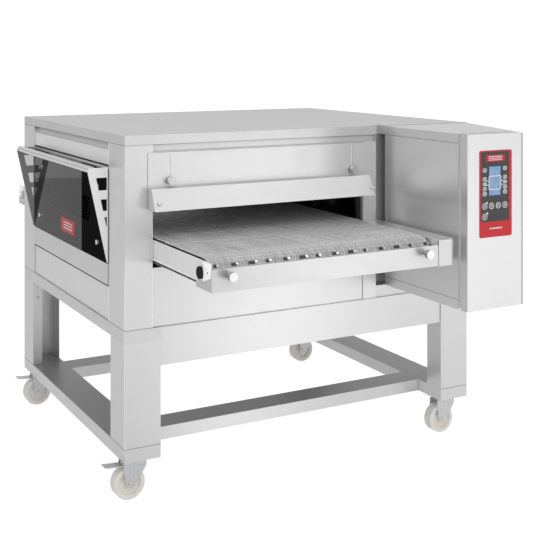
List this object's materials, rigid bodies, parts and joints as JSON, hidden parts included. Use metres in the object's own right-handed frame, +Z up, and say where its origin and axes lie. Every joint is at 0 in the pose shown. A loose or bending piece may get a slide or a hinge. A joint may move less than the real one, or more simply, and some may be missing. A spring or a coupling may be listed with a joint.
{
  "type": "conveyor pizza oven",
  "caption": "Free-standing conveyor oven on a wheeled stand: wire belt through a heated tunnel, drop-down side door with handle, sliding hoods, crumb trays and a control box.",
  "frame": {"origin": "on the floor under the middle of the whole oven's box", "axes": "+Z up, the belt runs along Y with the control box at the -Y end, the side door faces -X"},
  "size_m": [1.378, 2.014, 1.12],
  "materials": {
    "stainless_sheet": "satin",
    "stand_steel": "satin",
    "polished_steel": "polished",
    "zinc_steel": "zinc plated",
    "nylon": "satin",
    "black_plastic": "matte",
    "fibre_board": "matte",
    "belt_wire": "worn",
    "door_glass": "polished",
    "keypad_film": "semi-gloss",
    "display_glass": "polished",
    "circuit_board": "semi-gloss",
    "motor_paint": "semi-gloss",
    "element_sheath": "matte"
  },
  "bodies": {
    "oven": {"air_jet_fingers": "stainless_sheet", "baking_chamber": "stainless_sheet", "base_pan": "stainless_sheet", "belt_support_rods": "stainless_sheet", "bottom_cross_rails": "stand_steel", "bottom_side_rails": "stand_steel", "cable_gland": "black_plastic", "caster_bolts": "zinc_steel", "caster_plates": "zinc_steel", "control_housing": "stainless_sheet", "control_panel": "stainless_sheet", "controller_board": "circuit_board", "conveyor_rails": "stainless_sheet", "corner_posts": "stainless_sheet", "crossbars": "stand_steel", "display_lens": "display_glass", "door_hinges": "stainless_sheet", "drive_covers": "stainless_sheet", "fan_motor": "motor_paint", "front_panel": "stainless_sheet", "gear_motor": "motor_paint", "heating_elements": "element_sheath", "insulation": "fibre_board", "keypad": "keypad_film", "left_side_panels": "stainless_sheet", "rear_panel": "stainless_sheet", "right_side_panel": "stainless_sheet", "shaft_bearings": "black_plastic", "stand_legs": "stand_steel", "top_cover": "stainless_sheet", "top_side_rails": "stand_steel", "wire_belt": "belt_wire"},
    "side_door": {"door_frame": "stainless_sheet", "door_glass": "door_glass", "glass_studs": "polished_steel", "handle_bar": "polished_steel", "handle_brackets": "stainless_sheet"},
    "hood_front": {"hood_front": "stainless_sheet"},
    "crumb_tray_front": {"crumb_tray_front": "stainless_sheet"},
    "clamp_knob_front_left": {"clamp_knob_front_left": "polished_steel"},
    "clamp_knob_front_right": {"clamp_knob_front_right": "polished_steel"},
    "hood_rear": {"hood_rear": "stainless_sheet"},
    "crumb_tray_rear": {"crumb_tray_rear": "stainless_sheet"},
    "clamp_knob_rear_left": {"clamp_knob_rear_left": "polished_steel"},
    "clamp_knob_rear_right": {"clamp_knob_rear_right": "polished_steel"},
    "conveyor_drive": {"drive_shaft": "stainless_sheet", "drive_coupling": "stainless_sheet"},
    "conveyor_idler": {"idler_shaft": "stainless_sheet"},
    "hot_air_fan": {"fan_wheel": "stainless_sheet"},
    "box_fan": {"cooling_fan": "black_plastic"},
    "caster_front_left": {"caster_fork_front_left": "zinc_steel"},
    "wheel_front_left": {"caster_wheel_front_left": "nylon"},
    "caster_front_right": {"caster_fork_front_right": "zinc_steel"},
    "wheel_front_right": {"caster_wheel_front_right": "nylon"},
    "caster_rear_left": {"caster_fork_rear_left": "zinc_steel"},
    "wheel_rear_left": {"caster_wheel_rear_left": "nylon"},
    "caster_rear_right": {"caster_fork_rear_right": "zinc_steel"},
    "wheel_rear_right": {"caster_wheel_rear_right": "nylon"},
    "brake_front_left": {"brake_pedal_front_left": "zinc_steel"},
    "brake_rear_left": {"brake_pedal_rear_left": "zinc_steel"}
  },
  "joints": [
    {"name": "side_door_hinge", "type": "hinge", "parent": "oven", "child": "side_door", "pos_m": [-0.6125, 0, 0.65], "axis": [0, -1, 0], "range_deg": [0, 90]},
    {"name": "hood_front_slide", "type": "slide", "parent": "oven", "child": "hood_front", "axis": [0, 0, 1], "range_m": [-0.06, 0]},
    {"name": "crumb_tray_front_slide", "type": "slide", "parent": "oven", "child": "crumb_tray_front", "axis": [0, -1, 0], "range_m": [0, 0.1]},
    {"name": "clamp_knob_front_left_turn", "type": "hinge", "parent": "oven", "child": "clamp_knob_front_left", "pos_m": [-0.4755, -0.568, 0.9775], "axis": [0, -1, 0], "range_deg": [0, 180]},
    {"name": "clamp_knob_front_right_turn", "type": "hinge", "parent": "oven", "child": "clamp_knob_front_right", "pos_m": [0.1925, -0.568, 0.9775], "axis": [0, -1, 0], "range_deg": [0, 180]},
    {"name": "hood_rear_slide", "type": "slide", "parent": "oven", "child": "hood_rear", "axis": [0, 0, 1], "range_m": [-0.06, 0]},
    {"name": "crumb_tray_rear_slide", "type": "slide", "parent": "oven", "child": "crumb_tray_rear", "axis": [0, 1, 0], "range_m": [0, 0.1]},
    {"name": "clamp_knob_rear_left_turn", "type": "hinge", "parent": "oven", "child": "clamp_knob_rear_left", "pos_m": [-0.4755, 0.568, 0.9775], "axis": [0, 1, 0], "range_deg": [0, 180]},
    {"name": "clamp_knob_rear_right_turn", "type": "hinge", "parent": "oven", "child": "clamp_knob_rear_right", "pos_m": [0.1925, 0.568, 0.9775], "axis": [0, 1, 0], "range_deg": [0, 180]},
    {"name": "conveyor_drive_spin", "type": "hinge", "parent": "oven", "child": "conveyor_drive", "pos_m": [-0.1465, -0.901, 0.763], "axis": [1, 0, 0], "continuous": true},
    {"name": "conveyor_idler_spin", "type": "hinge", "parent": "oven", "child": "conveyor_idler", "pos_m": [-0.1465, 0.901, 0.763], "axis": [1, 0, 0], "continuous": true},
    {"name": "hot_air_fan_spin", "type": "hinge", "parent": "oven", "child": "hot_air_fan", "pos_m": [0.3785, 0, 0.83], "axis": [1, 0, 0], "continuous": true},
    {"name": "box_fan_spin", "type": "hinge", "parent": "oven", "child": "box_fan", "pos_m": [0.4685, -0.705, 0.585], "axis": [0, 0, 1], "continuous": true},
    {"name": "caster_front_left_swivel", "type": "hinge", "parent": "oven", "child": "caster_front_left", "pos_m": [-0.5645, -0.495, 0.124], "axis": [0, 0, 1], "continuous": true},
    {"name": "wheel_front_left_roll", "type": "hinge", "parent": "caster_front_left", "child": "wheel_front_left", "pos_m": [-0.5895, -0.495, 0.05], "axis": [0, 1, 0], "continuous": true},
    {"name": "caster_front_right_swivel", "type": "hinge", "parent": "oven", "child": "caster_front_right", "pos_m": [0.6315, -0.495, 0.124], "axis": [0, 0, 1], "continuous": true},
    {"name": "wheel_front_right_roll", "type": "hinge", "parent": "caster_front_right", "child": "wheel_front_right", "pos_m": [0.6065, -0.495, 0.05], "axis": [0, 1, 0], "continuous": true},
    {"name": "caster_rear_left_swivel", "type": "hinge", "parent": "oven", "child": "caster_rear_left", "pos_m": [-0.5645, 0.495, 0.124], "axis": [0, 0, 1], "continuous": true},
    {"name": "wheel_rear_left_roll", "type": "hinge", "parent": "caster_rear_left", "child": "wheel_rear_left", "pos_m": [-0.5895, 0.495, 0.05], "axis": [0, 1, 0], "continuous": true},
    {"name": "caster_rear_right_swivel", "type": "hinge", "parent": "oven", "child": "caster_rear_right", "pos_m": [0.6315, 0.495, 0.124], "axis": [0, 0, 1], "continuous": true},
    {"name": "wheel_rear_right_roll", "type": "hinge", "parent": "caster_rear_right", "child": "wheel_rear_right", "pos_m": [0.6065, 0.495, 0.05], "axis": [0, 1, 0], "continuous": true},
    {"name": "brake_front_left_press", "type": "hinge", "parent": "caster_front_left", "child": "brake_front_left", "pos_m": [-0.6025, -0.495, 0.106], "axis": [0, -1, 0], "range_deg": [0, 12]},
    {"name": "brake_rear_left_press", "type": "hinge", "parent": "caster_rear_left", "child": "brake_rear_left", "pos_m": [-0.6025, 0.495, 0.106], "axis": [0, -1, 0], "range_deg": [0, 12]}
  ],
  "couplings": [
    {"joint": "conveyor_idler_spin", "follows": "conveyor_drive_spin", "ratio": 1}
  ]
}
